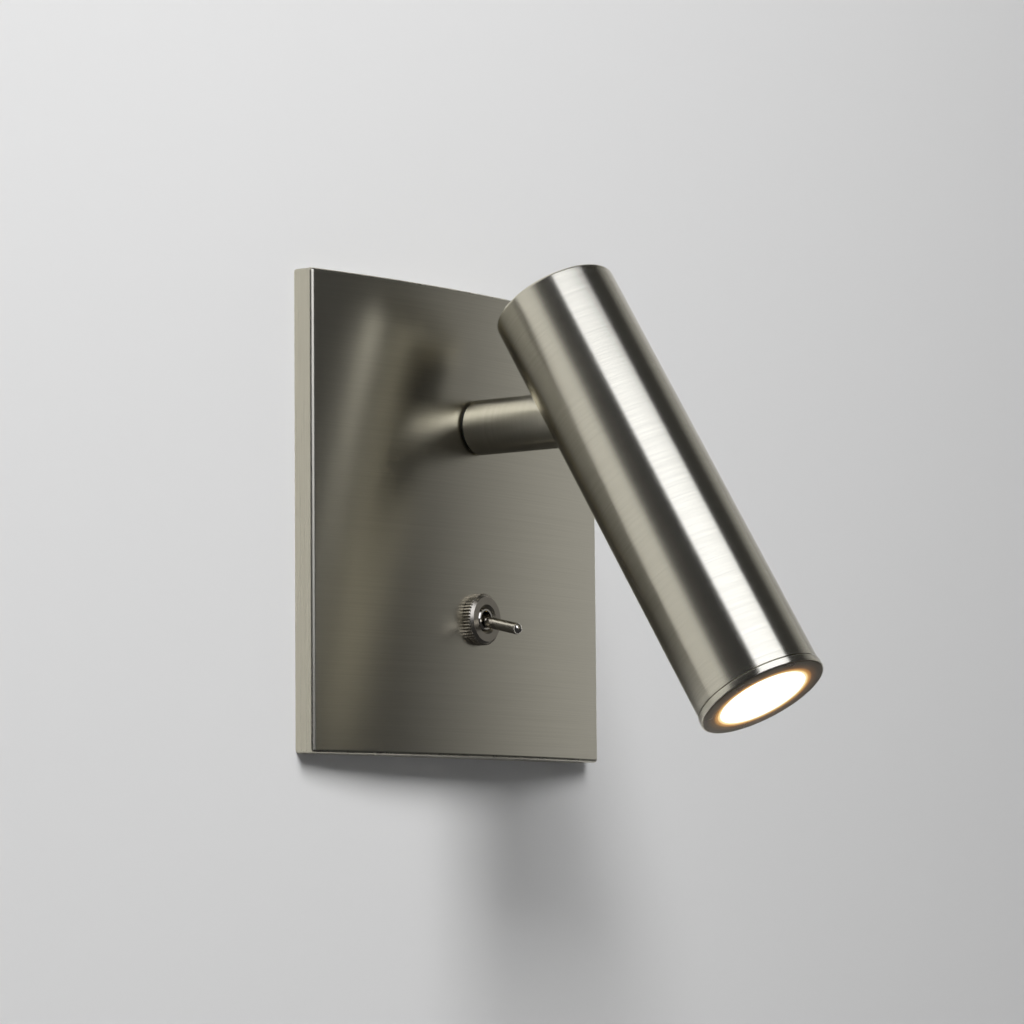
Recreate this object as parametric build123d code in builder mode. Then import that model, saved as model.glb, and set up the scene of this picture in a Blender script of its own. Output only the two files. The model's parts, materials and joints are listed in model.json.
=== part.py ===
from build123d import *
from math import cos, pi, radians, sin, sqrt
import os

# Bedside wall reading lamp, in millimetres. The wall is the plane Y = 0, the room is on the -Y side,
# +Z is up, and the origin is the middle of the plate on the wall.

# front plate
plate_size = 130.0
plate_edge = 6.0
plate_bow = 6.0
plate_wall = 2.2
plate_rounding = 1.0
bow_radius = ((plate_size / 2) ** 2 + plate_bow**2) / (2 * plate_bow)
bow_centre = bow_radius - plate_edge - plate_bow
plate_front = plate_edge + plate_bow
skin_back = plate_front - plate_wall

# arm
arm_height = 26.8
arm_diameter = 15.4
arm_bore = 12.4
arm_washer_thickness = 0.7
arm_base = plate_front + arm_washer_thickness
pivot_reach = 58.8
spigot_diameter = 9.9
lead_bore = 6.0
lead_diameter = 3.0

# head, measured along its axis from the tilt pivot, towards the lens
head_tilt = 59.2
head_diameter = 35.2
head_bore = 32.0
head_front = 91.5
head_length = 130.0
head_rear = head_front - head_length
head_end_wall = 2.5
bezel_height = 2.5
lens_opening = 24.6
tilt_up = 19.0
arm_slot = 16.0

# switch
switch_height = -26.8
bushing_diameter = 6.3
bushing_front = 14.7
bushing_back = 5.3
bushing_bore = 4.8
flange_bore = 5.8
dress_nut_diameter = 14.4
dress_nut_front = 15.0
dress_nut_chamfer = 1.0
serrations = 48
lever_pivot = 11.8
lever_angle = 13.0

# wall side
bracket_thickness = 1.5
fixing_spacing = 60.3
fixing_slot_length = 9.0
fixing_slot_width = 4.2
ear_inside = 17.5
driver_front = -13.0
driver_depth = 20.0
driver_width = 34.6
driver_low = 5.5
driver_height = 28.0
wire_diameter = 1.9

# planes: each looks out of the wall, so an offset is a distance out from it
wall = Plane.XZ
arm_axis = Plane((0, 0, arm_height), x_dir=(1, 0, 0), z_dir=(0, -1, 0))
switch_axis = Plane((0, 0, switch_height), x_dir=(1, 0, 0), z_dir=(0, -1, 0))
pivot = (0, -pivot_reach, arm_height)
head_direction = (0, -cos(radians(head_tilt)), -sin(radians(head_tilt)))
head_axis = Plane(pivot, x_dir=(1, 0, 0), z_dir=head_direction)


def ring(axis, start, end, outer, inner=0.0):
    """A round piece on an axis plane, between two distances along it."""
    with BuildPart() as piece:
        with BuildSketch(axis.offset(start)):
            Circle(outer / 2)
            if inner:
                Circle(inner / 2, mode=Mode.SUBTRACT)
        extrude(amount=end - start)
    return piece


def screw(axis, seat, shank, length, head, head_height, slot=0.0):
    """A screw whose head rests on the seat and whose shank goes back from it."""
    with BuildPart() as piece:
        with BuildSketch(axis.offset(seat)):
            Circle(head / 2)
        extrude(amount=head_height)
        with BuildSketch(axis.offset(seat)):
            Circle(shank / 2)
        extrude(amount=-length)
        if slot:
            with BuildSketch(axis.offset(seat + head_height)):
                Rectangle(head, slot)
            extrude(amount=-head_height / 2, mode=Mode.SUBTRACT)
    return piece


def grub_screw(axis, start, end, diameter, key):
    """A headless screw with a hexagon socket at its far end."""
    with BuildPart() as piece:
        with BuildSketch(axis.offset(start)):
            Circle(diameter / 2)
        extrude(amount=end - start)
        with BuildSketch(axis.offset(end)):
            RegularPolygon(key / 2, 6)
        extrude(amount=-(end - start) / 2, mode=Mode.SUBTRACT)
    return piece


def group(screws):
    """Separate like pieces that share one node."""
    with BuildPart() as together:
        for piece in screws:
            add(piece.part)
    return together


def lead(points, bend, diameter):
    """An insulated wire along straight runs joined by arcs."""
    with BuildPart() as piece:
        with BuildLine() as route:
            FilletPolyline(*points, radius=bend)
        with BuildSketch(Plane(route.line @ 0, z_dir=route.line % 0)):
            Circle(diameter / 2)
        sweep(path=route.line)
    return piece


def bowed_profile(half_width, radius):
    """Section through the plate: flat on the wall, an arc about the bow's centre in front."""
    edge = bow_centre - sqrt(radius**2 - half_width**2)
    with BuildLine() as outline:
        Polyline((half_width, edge), (half_width, 0), (-half_width, 0), (-half_width, edge))
        ThreePointArc((-half_width, edge), (0, bow_centre - radius), (half_width, edge))
    make_face(outline.edges())


# front plate and wall bracket
hook_x = 30.0
hook_width = 14.0
grub_x = 40.0
grub_out = 3.0
stop_radius = 9.6
stop_peg = 2.6
swivel_hole = 10.1
inside_half = plate_size / 2 - plate_wall

with BuildPart() as front_plate:
    with BuildSketch(Plane.XY.offset(-plate_size / 2)):
        bowed_profile(plate_size / 2, bow_radius)
    extrude(amount=plate_size)
    outer_edges = front_plate.edges().filter_by(lambda edge: edge.center().Y < -1)
    fillet(outer_edges, plate_rounding)
    with BuildSketch(Plane.XY.offset(-inside_half)):
        bowed_profile(inside_half, bow_radius - plate_wall)
    extrude(amount=2 * inside_half, mode=Mode.SUBTRACT)
    # ledges that the bracket's hooks catch
    with BuildSketch(wall.offset(0.9)):
        with Locations((-hook_x, inside_half - 1), (hook_x, inside_half - 1)):
            Rectangle(hook_width + 2, 3)
    extrude(amount=1.5)
    # pads that give the grub screws their thread
    with BuildSketch(wall):
        with Locations((-grub_x, 1 - inside_half), (grub_x, 1 - inside_half)):
            Rectangle(9, 3)
    extrude(amount=2 * grub_out)
    with BuildSketch(Plane.XY.offset(-plate_size / 2)):
        with Locations((-grub_x, -grub_out), (grub_x, -grub_out)):
            Circle(1.5)
    extrude(amount=6, mode=Mode.SUBTRACT)
    # peg that stops the arm's swivel
    with BuildSketch(arm_axis.offset(skin_back - 2.4)):
        with Locations((0, -stop_radius)):
            Circle(stop_peg / 2)
    extrude(amount=2.6)
    with BuildSketch(arm_axis):
        Circle(swivel_hole / 2)
    extrude(amount=2 * plate_front, mode=Mode.SUBTRACT)
    with BuildSketch(switch_axis):
        Circle(bushing_diameter / 2 + 0.1)
    extrude(amount=2 * plate_front, mode=Mode.SUBTRACT)

bracket_half_width = 52.0
bracket_top = 54.5
bracket_bottom = -57.5
driver_screw_back = driver_front - driver_depth / 2
driver_middle = driver_low + driver_height / 2
earth_x = 25.0
earth_z = -25.0
pole_pitch = 8.5
block_offset = -3.5
block_screw_places = [block_offset - pole_pitch / 2, block_offset + pole_pitch / 2]
block_low = -11.5
block_height = 16.0
block_middle = block_low + block_height / 2

with BuildPart() as wall_bracket:
    with BuildSketch(wall):
        with Locations((0, (bracket_top + bracket_bottom) / 2)):
            RectangleRounded(2 * bracket_half_width, bracket_top - bracket_bottom, 4)
        # windows for the driver's leads and for the switch
        with Locations((0, 26)):
            RectangleRounded(2 * ear_inside, 36, 2, mode=Mode.SUBTRACT)
        with Locations((0, -28)):
            RectangleRounded(20, 26, 2, mode=Mode.SUBTRACT)
        with Locations((-fixing_spacing / 2, 0), (fixing_spacing / 2, 0)):
            SlotOverall(fixing_slot_length, fixing_slot_width, mode=Mode.SUBTRACT)
        with Locations(*[(x, block_middle) for x in block_screw_places]):
            Circle(1.3, mode=Mode.SUBTRACT)
        with Locations((earth_x, earth_z)):
            Circle(2.0, mode=Mode.SUBTRACT)
    extrude(amount=bracket_thickness)
    # flange that the grub screws press on
    with BuildSketch(wall):
        with Locations((0, bracket_bottom + bracket_thickness / 2)):
            Rectangle(92, bracket_thickness)
    extrude(amount=6)
    # hooks stepped forward at the top
    with BuildSketch(wall):
        with Locations((-hook_x, bracket_top - 1), (hook_x, bracket_top - 1)):
            Rectangle(hook_width, 2)
    extrude(amount=4.4)
    with BuildSketch(wall.offset(2.9)):
        with Locations((-hook_x, bracket_top + 2.5), (hook_x, bracket_top + 2.5)):
            Rectangle(hook_width, 9)
    extrude(amount=1.5)
    # ears bent back into the wall box, one each side of the driver
    with BuildSketch(wall.offset(bracket_thickness)):
        with Locations(
            (-ear_inside - bracket_thickness / 2, driver_middle),
            (ear_inside + bracket_thickness / 2, driver_middle),
        ):
            Rectangle(bracket_thickness, 18)
    extrude(amount=driver_front - driver_depth - bracket_thickness)
    with BuildSketch(Plane.YZ.offset(-30)):
        with Locations((-driver_screw_back, driver_middle)):
            Circle(1.6)
    extrude(amount=60, mode=Mode.SUBTRACT)

grub_diameter = 2.9
grub_length = 6.0
grub_key = 1.5
grub_lines = [
    Plane((side * grub_x, -grub_out, bracket_bottom), x_dir=(1, 0, 0), z_dir=(0, 0, -1))
    for side in (-1, 1)
]
plate_grub_screws = group(
    [grub_screw(line, 0, grub_length, grub_diameter, grub_key) for line in grub_lines]
)

# terminal block and earth
pole_back = 4.7
block_depth = 11.0
barrel_low = -9.5
barrel_length = 12.0
barrel_side = 5.0
barrel_wall = (barrel_side - 3.0) / 2
entry_depth = 5.5
entry_diameter = 3.0
poles = [block_offset + step * pole_pitch for step in (-1, 0, 1)]
well_heights = [barrel_low + 3.0, barrel_low + 9.0]
wells = [(x, z) for x in poles for z in well_heights]

with BuildPart() as terminal_block:
    with BuildSketch(wall.offset(-block_depth)):
        with Locations((block_offset, block_middle)):
            Rectangle(26, block_height)
    extrude(amount=block_depth)
    # pockets for the brass barrels, screw wells and wire entries
    with BuildSketch(wall.offset(-block_depth)):
        with Locations(*wells):
            Circle(1.9)
    extrude(amount=4, mode=Mode.SUBTRACT)
    with BuildSketch(Plane.XY.offset(barrel_low)):
        with Locations(*[(x, pole_back) for x in poles]):
            Rectangle(barrel_side + 0.1, barrel_side + 0.1)
    extrude(amount=barrel_length, mode=Mode.SUBTRACT)
    with BuildSketch(Plane.XY.offset(block_low)):
        with Locations(*[(x, pole_back) for x in poles]):
            Circle(1.8)
    extrude(amount=block_height, mode=Mode.SUBTRACT)
    with BuildSketch(wall):
        with Locations(*[(x, block_middle) for x in block_screw_places]):
            Circle(1.1)
    extrude(amount=-6, mode=Mode.SUBTRACT)

with BuildPart() as terminal_barrels:
    with BuildSketch(Plane.XY.offset(barrel_low)):
        with Locations(*[(x, pole_back) for x in poles]):
            Rectangle(barrel_side, barrel_side)
    extrude(amount=barrel_length)
    for mouth, reach in ((barrel_low, entry_depth), (barrel_low + barrel_length, -entry_depth)):
        with BuildSketch(Plane.XY.offset(mouth)):
            with Locations(*[(x, pole_back) for x in poles]):
                Circle(entry_diameter / 2)
        extrude(amount=reach, mode=Mode.SUBTRACT)
    with BuildSketch(wall.offset(-pole_back - barrel_side / 2)):
        with Locations(*wells):
            Circle(1.25)
    extrude(amount=barrel_wall, mode=Mode.SUBTRACT)

# shank diameter and length, head diameter and height, slot width
terminal_screw_size = (2.4, 1.1, 3.4, 2.0, 0.6)
terminal_screw_seat = pole_back + barrel_side / 2 + 0.2
terminal_screws = group(
    [
        screw(Plane((x, 0, z), x_dir=(1, 0, 0), z_dir=(0, 1, 0)), terminal_screw_seat, *terminal_screw_size)
        for x, z in wells
    ]
)

block_screw_size = (2.1, 6.5, 4.2, 1.4, 0.7)
block_screw_lines = [
    Plane((x, 0, block_middle), x_dir=(1, 0, 0), z_dir=(0, -1, 0)) for x in block_screw_places
]
block_screws = group(
    [screw(line, bracket_thickness, *block_screw_size) for line in block_screw_lines]
)

earth_axis = Plane((earth_x, 0, earth_z), x_dir=(1, 0, 0), z_dir=(0, 1, 0))
earth_washer_thickness = 0.6
tag_thickness = 0.8
earth_washer = ring(earth_axis, 0, earth_washer_thickness, 7.6, 4.2)
earth_screw = screw(earth_axis, earth_washer_thickness + tag_thickness, 3.9, 6.0, 7.0, 2.4, 1.0)
tag_tail = 8.0
tag_barrel_back = 2.5
tag_barrel_length = 5.0
with BuildPart() as earth_tag:
    with BuildSketch(earth_axis.offset(earth_washer_thickness)):
        Circle(3.8)
        with Locations((-(tag_tail + tag_barrel_length) / 2, 0)):
            Rectangle(tag_tail + tag_barrel_length, 2.8)
        Circle(2.1, mode=Mode.SUBTRACT)
    extrude(amount=tag_thickness)
    # crimped barrel on the tail
    with BuildSketch(Plane.YZ.offset(earth_x - tag_tail - tag_barrel_length)):
        with Locations((tag_barrel_back, earth_z)):
            Circle(1.7)
            Circle(wire_diameter / 2 + 0.05, mode=Mode.SUBTRACT)
    extrude(amount=tag_barrel_length)

# driver
driver_wall = 1.6
driver_lid_thickness = 1.5
driver_board_thickness = 1.6
driver_board_lift = 2.4
case_back = driver_front - driver_depth

with BuildPart() as driver_case:
    with BuildSketch(wall.offset(case_back)):
        with Locations((0, driver_middle)):
            Rectangle(driver_width, driver_height)
    extrude(amount=driver_depth - driver_lid_thickness)
    with BuildSketch(wall.offset(case_back + driver_wall)):
        with Locations((0, driver_middle)):
            Rectangle(driver_width - 2 * driver_wall, driver_height - 2 * driver_wall)
    extrude(amount=driver_depth, mode=Mode.SUBTRACT)
    # bosses for the case screws and holes for the mains leads
    for side in (-1, 1):
        with BuildSketch(Plane.YZ.offset(side * (driver_width / 2 - 3.6))):
            with Locations((-driver_screw_back, driver_middle)):
                Circle(3)
        extrude(amount=side * 3)
    with BuildSketch(Plane.YZ.offset(-driver_width / 2)):
        with Locations((-driver_screw_back, driver_middle)):
            Circle(1.5)
    extrude(amount=driver_width, mode=Mode.SUBTRACT)
    with BuildSketch(Plane.XY.offset(driver_low)):
        with Locations((-8, 24), (8, 24)):
            Circle(wire_diameter / 2 + 0.2)
    extrude(amount=driver_wall, mode=Mode.SUBTRACT)

with BuildPart() as driver_lid:
    with BuildSketch(wall.offset(driver_front - driver_lid_thickness)):
        with Locations((0, driver_middle)):
            Rectangle(driver_width, driver_height)
        with Locations((0, arm_height)):
            Circle(lead_diameter / 2 + 0.2, mode=Mode.SUBTRACT)
    extrude(amount=driver_lid_thickness)

board_back = case_back + driver_wall + driver_board_lift
parts_back = board_back + driver_board_thickness
with BuildPart() as driver_board:
    with BuildSketch(wall.offset(board_back)):
        with Locations((0, driver_middle)):
            Rectangle(24, 23)
    extrude(amount=driver_board_thickness)
    # solder feet that stand the board on the case floor
    with BuildSketch(wall.offset(case_back + driver_wall)):
        with Locations(Location((0, driver_middle))):
            with GridLocations(18, 17, 2, 2):
                Circle(1)
    extrude(amount=driver_board_lift)

with BuildPart() as driver_transformer:
    with BuildSketch(wall.offset(parts_back)):
        with Locations((-3, driver_middle + 3)):
            RectangleRounded(13, 11, 1)
    extrude(amount=9)
capacitor_axis = Plane((7, 0, driver_middle - 6), x_dir=(1, 0, 0), z_dir=(0, -1, 0))
driver_capacitor = ring(capacitor_axis, parts_back, parts_back + 10, 8)

ear_outside = ear_inside + bracket_thickness
driver_screw_size = (2.9, 4.5, 5.5, 1.8, 0.8)
ear_lines = [
    Plane((0, -driver_screw_back, driver_middle), x_dir=(0, 1, 0), z_dir=(side, 0, 0))
    for side in (-1, 1)
]
driver_screws = group([screw(line, ear_outside, *driver_screw_size) for line in ear_lines])

# toggle switch
contact_height = 4.7
case_front = 4.5
case_floor = -5.3
case_width = 7.9
case_height = 13.0
case_wall = 0.9
case_base = 1.1
with BuildPart() as dress_nut:
    with BuildSketch(switch_axis.offset(plate_front)):
        Circle(dress_nut_diameter / 2)
    extrude(amount=dress_nut_front - plate_front)
    chamfer(dress_nut.faces().sort_by(Axis.Y)[0].edges(), dress_nut_chamfer)
    # axial serrations around the rim
    with BuildSketch(switch_axis.offset(plate_front)):
        with PolarLocations(dress_nut_diameter / 2, serrations):
            Rectangle(0.45, 0.45, rotation=45)
    extrude(amount=dress_nut_front - plate_front, mode=Mode.SUBTRACT)
    with BuildSketch(switch_axis.offset(plate_front)):
        Circle(bushing_diameter / 2 + 0.05)
    extrude(amount=dress_nut_front, mode=Mode.SUBTRACT)
    nut_mouth = dress_nut.faces().sort_by(Axis.Y)[0].inner_wires()[0].edges()
    chamfer(nut_mouth, 0.9)

seat_back = skin_back - 0.1
lock_washer_thickness = 0.5
lock_washer_back = seat_back - lock_washer_thickness
switch_nut_height = 2.0
switch_nut_back = lock_washer_back - switch_nut_height
with BuildPart() as lock_washer:
    with BuildSketch(switch_axis.offset(lock_washer_back)):
        Circle(5.2)
        with PolarLocations(5.2, 12):
            Rectangle(0.9, 0.9, mode=Mode.SUBTRACT)
        Circle(bushing_diameter / 2 + 0.1, mode=Mode.SUBTRACT)
    extrude(amount=lock_washer_thickness)
with BuildPart() as switch_nut:
    with BuildSketch(switch_axis.offset(switch_nut_back)):
        RegularPolygon(4.0, 6, major_radius=False)
        Circle(bushing_diameter / 2 + 0.05, mode=Mode.SUBTRACT)
    extrude(amount=switch_nut_height)

ball_diameter = 4.4
pin_diameter = 1.0
pin_length = 6.0
pin_axis = Plane((0, -lever_pivot, switch_height), x_dir=(0, -1, 0), z_dir=(1, 0, 0))
with BuildPart() as switch_bushing:
    with BuildSketch(switch_axis.offset(case_front)):
        Rectangle(case_width, case_height)
    extrude(amount=bushing_back - case_front)
    with BuildSketch(switch_axis.offset(bushing_back)):
        Circle(bushing_diameter / 2)
    extrude(amount=bushing_front - bushing_back)
    chamfer(switch_bushing.faces().sort_by(Axis.Y)[0].edges(), 0.3)
    with BuildSketch(switch_axis.offset(case_front)):
        Circle(bushing_bore / 2)
    extrude(amount=bushing_front, mode=Mode.SUBTRACT)
    # wider at the back, where the lever's tail swings
    with BuildSketch(switch_axis.offset(case_front)):
        Circle(flange_bore / 2)
    extrude(amount=bushing_back - case_front, mode=Mode.SUBTRACT)
    with BuildSketch(pin_axis.offset(-bushing_diameter)):
        Circle(pin_diameter / 2 + 0.01)
    extrude(amount=2 * bushing_diameter, mode=Mode.SUBTRACT)

with BuildPart() as switch_case:
    with BuildSketch(switch_axis.offset(case_floor)):
        Rectangle(case_width, case_height)
    extrude(amount=case_front - case_floor)
    with BuildSketch(switch_axis.offset(case_floor + case_base)):
        Rectangle(case_width - 2 * case_wall, case_height - 2 * case_wall)
    extrude(amount=case_front - case_floor, mode=Mode.SUBTRACT)
    with BuildSketch(switch_axis.offset(case_floor)):
        with Locations((0, 0), (0, contact_height)):
            Rectangle(2.1, 0.9)
    extrude(amount=2, mode=Mode.SUBTRACT)

# the middle terminal carries the rocker, the upper one is its contact
terminal_end = -9.5
rocker_back = -2.6
rocker_tilt = 9.1
rocker_width = 2.4
rocker_thickness = 0.5
bead_diameter = 1.0
rocker_pivot = Plane((0, -rocker_back, switch_height), x_dir=(0, -1, 0), z_dir=(1, 0, 0))
with BuildPart() as switch_terminals:
    for height, top in ((0, rocker_back - 0.4), (contact_height, rocker_back - 1.05)):
        with BuildSketch(switch_axis.offset(terminal_end)):
            with Locations((0, height)):
                Rectangle(2.0, 0.8)
        extrude(amount=top - terminal_end)
    # cradle under the rocker's bead
    with BuildSketch(rocker_pivot.offset(-rocker_width)):
        Circle(bead_diameter / 2 + 0.05)
    extrude(amount=2 * rocker_width, mode=Mode.SUBTRACT)

with BuildPart() as switch_rocker:
    rocker_axis = switch_axis.offset(rocker_back).rotated((-rocker_tilt, 0, 0))
    with BuildSketch(rocker_axis.offset(-rocker_thickness / 2)):
        Rectangle(rocker_width, 9.0)
    extrude(amount=rocker_thickness)
    with BuildSketch(rocker_pivot.offset(-rocker_width / 2)):
        Circle(bead_diameter / 2)
    extrude(amount=rocker_width)

# The lever leans down as it does when the lamp is on: +z of its plane runs out to the tip.
lever_axis = Plane(
    (0, -lever_pivot, switch_height),
    x_dir=(1, 0, 0),
    z_dir=(0, -cos(radians(lever_angle)), -sin(radians(lever_angle))),
)
lever_length = 15.2
lever_neck = 1.55
lever_tip_radius = 1.6
tail_length = 12.4
tail_radius = 0.8
with BuildPart() as switch_lever:
    with BuildSketch(Plane(lever_axis.origin, x_dir=(1, 0, 0), z_dir=lever_axis.y_dir)):
        with BuildLine():
            # half outline, +y of this sketch points back along the lever
            ball_edge = sqrt((ball_diameter / 2) ** 2 - lever_neck**2)
            tail_edge = sqrt((ball_diameter / 2) ** 2 - tail_radius**2)
            tip_slant = lever_tip_radius * sin(pi / 4)
            tip_start = lever_length - lever_tip_radius
            Line((0, -lever_length), (0, tail_length))
            Line((0, tail_length), (tail_radius, tail_length))
            Line((tail_radius, tail_length), (tail_radius, tail_edge))
            ThreePointArc((tail_radius, tail_edge), (ball_diameter / 2, 0), (lever_neck, -ball_edge))
            Line((lever_neck, -ball_edge), (lever_tip_radius, -tip_start))
            ThreePointArc(
                (lever_tip_radius, -tip_start),
                (tip_slant, -tip_start - tip_slant),
                (0, -lever_length),
            )
        make_face()
    revolve(axis=Axis(lever_axis.origin, lever_axis.z_dir))
    with BuildSketch(pin_axis.offset(-ball_diameter)):
        Circle(pin_diameter / 2 + 0.04)
    extrude(amount=2 * ball_diameter, mode=Mode.SUBTRACT)

lever_pin = ring(pin_axis, -pin_length / 2, pin_length / 2, pin_diameter)

plunger_end = 13.85
plunger_start = 8.5
switch_plunger = ring(lever_axis, -plunger_end, -plunger_start, 2.6, 2 * tail_radius + 0.1)

# leads behind the plate
entry_start = barrel_low + entry_depth - 0.5
live_lead = lead(
    [
        (poles[0], pole_back, entry_start),
        (poles[0], pole_back, -16.5),
        (-8.5, 15.5, switch_height + contact_height),
        (0, 15.5, switch_height + contact_height),
        (0, -terminal_end, switch_height + contact_height),
    ],
    2.9,
    wire_diameter,
)
switched_lead = lead(
    [
        (0, -terminal_end, switch_height),
        (0, 19, switch_height),
        (-8, 24, -18),
        (-8, 24, driver_low + 0.8),
    ],
    4.0,
    wire_diameter,
)
neutral_lead = lead(
    [
        (poles[1], pole_back, entry_start),
        (poles[1], pole_back, -15.5),
        (8, 18, -15.5),
        (8, 24, -6),
        (8, 24, driver_low + 0.8),
    ],
    3.5,
    wire_diameter,
)
earth_lead = lead(
    [
        (poles[2], pole_back, entry_start),
        (poles[2], pole_back, -14.0),
        (9.2, tag_barrel_back, earth_z),
        (earth_x - tag_tail - 0.5, tag_barrel_back, earth_z),
    ],
    3.5,
    wire_diameter,
)

led_lead_rear = ring(arm_axis, driver_front, 2.8, lead_diameter)

# arm and its swivel
tube_end = pivot_reach - 9.6
plug_diameter = arm_bore - 0.02
plug_length = 9.0
spigot_rear = 3.4
spigot_fit = spigot_diameter + 0.1
washer_diameter = 15.4
slip_washer_back = seat_back - 0.8
stop_washer_back = slip_washer_back - 1.0
spring_thickness = 0.5
spring_washer_back = stop_washer_back - 0.8
swivel_nut_height = 3.0
swivel_nut_back = spring_washer_back - swivel_nut_height

arm_washer = ring(arm_axis, plate_front, arm_base, 14.2, swivel_hole)
slip_washer = ring(arm_axis, slip_washer_back, seat_back, washer_diameter, spigot_fit)

with BuildPart() as stop_washer:
    with BuildSketch(arm_axis.offset(stop_washer_back)):
        Circle(washer_diameter / 2)
        # tab that meets the plate's peg
        with Locations((0, 9.0)):
            Rectangle(3.0, 4.4)
        Circle(spigot_fit / 2, mode=Mode.SUBTRACT)
    extrude(amount=slip_washer_back - stop_washer_back)

with BuildPart() as spring_washer:
    with BuildSketch(Plane.YZ):
        with BuildLine():
            Polyline(
                (-stop_washer_back, arm_height + 7.4),
                (-stop_washer_back + spring_thickness, arm_height + 7.4),
                (-spring_washer_back, arm_height + 5.1),
                (-spring_washer_back - spring_thickness, arm_height + 5.1),
                close=True,
            )
        make_face()
    revolve(axis=Axis(arm_axis.origin, arm_axis.z_dir))

with BuildPart() as swivel_nut:
    with BuildSketch(arm_axis.offset(swivel_nut_back)):
        RegularPolygon(6.5, 6, major_radius=False)
        Circle(spigot_fit / 2, mode=Mode.SUBTRACT)
    extrude(amount=swivel_nut_height)

with BuildPart() as arm_spigot:
    with BuildSketch(arm_axis.offset(spigot_rear)):
        Circle(spigot_diameter / 2)
    extrude(amount=arm_base - spigot_rear)
    with BuildSketch(arm_axis.offset(arm_base)):
        Circle(plug_diameter / 2)
    extrude(amount=plug_length)
    with BuildSketch(arm_axis):
        Circle(lead_bore / 2)
    extrude(amount=arm_base + 2 * plug_length, mode=Mode.SUBTRACT)

with BuildPart() as arm_tube:
    with BuildSketch(arm_axis.offset(arm_base)):
        Circle(arm_diameter / 2)
        Circle(arm_bore / 2, mode=Mode.SUBTRACT)
    extrude(amount=tube_end - arm_base)
    chamfer(arm_tube.faces().sort_by(Axis.Y)[-1].outer_wire().edges(), 0.25)

eye_half_width = 7.0
pivot_bore = 4.1
lead_slot = 4.6
tilt_plane = Plane(pivot, x_dir=(0, -1, 0), z_dir=(1, 0, 0))
tilt_down = 90 - head_tilt
with BuildPart() as arm_knuckle:
    with BuildSketch(arm_axis.offset(tube_end)):
        Circle(arm_diameter / 2)
    extrude(amount=pivot_reach + arm_diameter - tube_end)
    # rounded end with a flat each side
    with BuildSketch(tilt_plane.offset(-eye_half_width)):
        Circle(arm_diameter / 2)
        with Locations(((tube_end - pivot_reach) / 2, 0)):
            Rectangle(pivot_reach - tube_end, arm_diameter)
    extrude(amount=2 * eye_half_width, mode=Mode.INTERSECT)
    with BuildSketch(arm_axis.offset(tube_end - plug_length)):
        Circle(plug_diameter / 2)
    extrude(amount=plug_length)
    with BuildSketch(arm_axis.offset(tube_end - plug_length)):
        Circle(lead_slot / 2)
    extrude(amount=pivot_reach - tube_end + plug_length, mode=Mode.SUBTRACT)
    # fan that lets the lead swing with the head
    with BuildSketch(tilt_plane.offset(-lead_slot / 2)):
        fan_angles = (head_tilt - tilt_up, head_tilt, head_tilt + tilt_down)
        fan = [(14 * cos(radians(angle)), 14 * sin(radians(angle))) for angle in fan_angles]
        with Locations((0, 0), *fan):
            Circle(1.9)
        make_hull()
    extrude(amount=lead_slot, mode=Mode.SUBTRACT)
    with BuildSketch(tilt_plane.offset(-arm_diameter)):
        Circle(pivot_bore / 2)
    extrude(amount=2 * arm_diameter, mode=Mode.SUBTRACT)

with BuildPart() as led_lead_arm:
    with BuildSketch(arm_axis.offset(spigot_rear)):
        Circle(lead_diameter / 2)
    extrude(amount=pivot_reach - spigot_rear)
    with Locations(pivot):
        Sphere(lead_diameter / 2)

# head
shell_front = head_front - bezel_height
shell_fillet = 0.9
slot_low = 8.2
slot_high = -33.6
block_rear = -12.0
block_front = 18.0
web_start = 8.6
grub_along = 13.5
back_direction = -head_axis.y_dir
back_plane = Plane(pivot, x_dir=head_direction, z_dir=back_direction)
grub_line_head = Plane(
    head_axis.from_local_coords((0, 0, grub_along)),
    x_dir=head_direction,
    z_dir=back_direction,
)

with BuildPart() as head_shell:
    with BuildSketch(head_axis.offset(head_rear)):
        Circle(head_diameter / 2)
    extrude(amount=shell_front - head_rear)
    rear_rim = head_shell.edges().filter_by(GeomType.CIRCLE).sort_by(Axis(pivot, head_direction))[0]
    fillet(rear_rim, shell_fillet)
    with BuildSketch(head_axis.offset(head_rear + head_end_wall)):
        Circle(head_bore / 2)
    extrude(amount=head_length, mode=Mode.SUBTRACT)
    with BuildSketch(back_plane):
        with Locations(((slot_low + slot_high) / 2, 0)):
            SlotOverall(slot_low - slot_high, arm_slot)
    extrude(amount=head_diameter, mode=Mode.SUBTRACT)
    with BuildSketch(grub_line_head):
        Circle(1.5)
    extrude(amount=head_diameter, mode=Mode.SUBTRACT)

pivot_screw_seat = 13.3
pivot_screw_head = 6.5
with BuildPart() as pivot_block:
    with BuildSketch(head_axis.offset(block_rear)):
        Circle(head_bore / 2 - 0.1)
    extrude(amount=block_front - block_rear)
    # slot that the arm swings in, closed at the front by a bridge
    with BuildSketch(head_axis.offset(block_rear)):
        with Locations((0, -3.5)):
            Rectangle(arm_slot, 25)
    extrude(amount=web_start - block_rear, mode=Mode.SUBTRACT)
    with BuildSketch(head_axis.offset(block_rear)):
        Circle(4)
    extrude(amount=40, mode=Mode.SUBTRACT)
    with BuildSketch(tilt_plane.offset(-head_diameter)):
        Circle(pivot_bore / 2)
    extrude(amount=2 * head_diameter, mode=Mode.SUBTRACT)
    for side in (-1, 1):
        with BuildSketch(tilt_plane.offset(side * pivot_screw_seat)):
            Circle(pivot_screw_head / 2 + 0.1)
        extrude(amount=side * 4, mode=Mode.SUBTRACT)
    with BuildSketch(grub_line_head):
        Circle(1.5)
    extrude(amount=head_diameter, mode=Mode.SUBTRACT)

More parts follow.
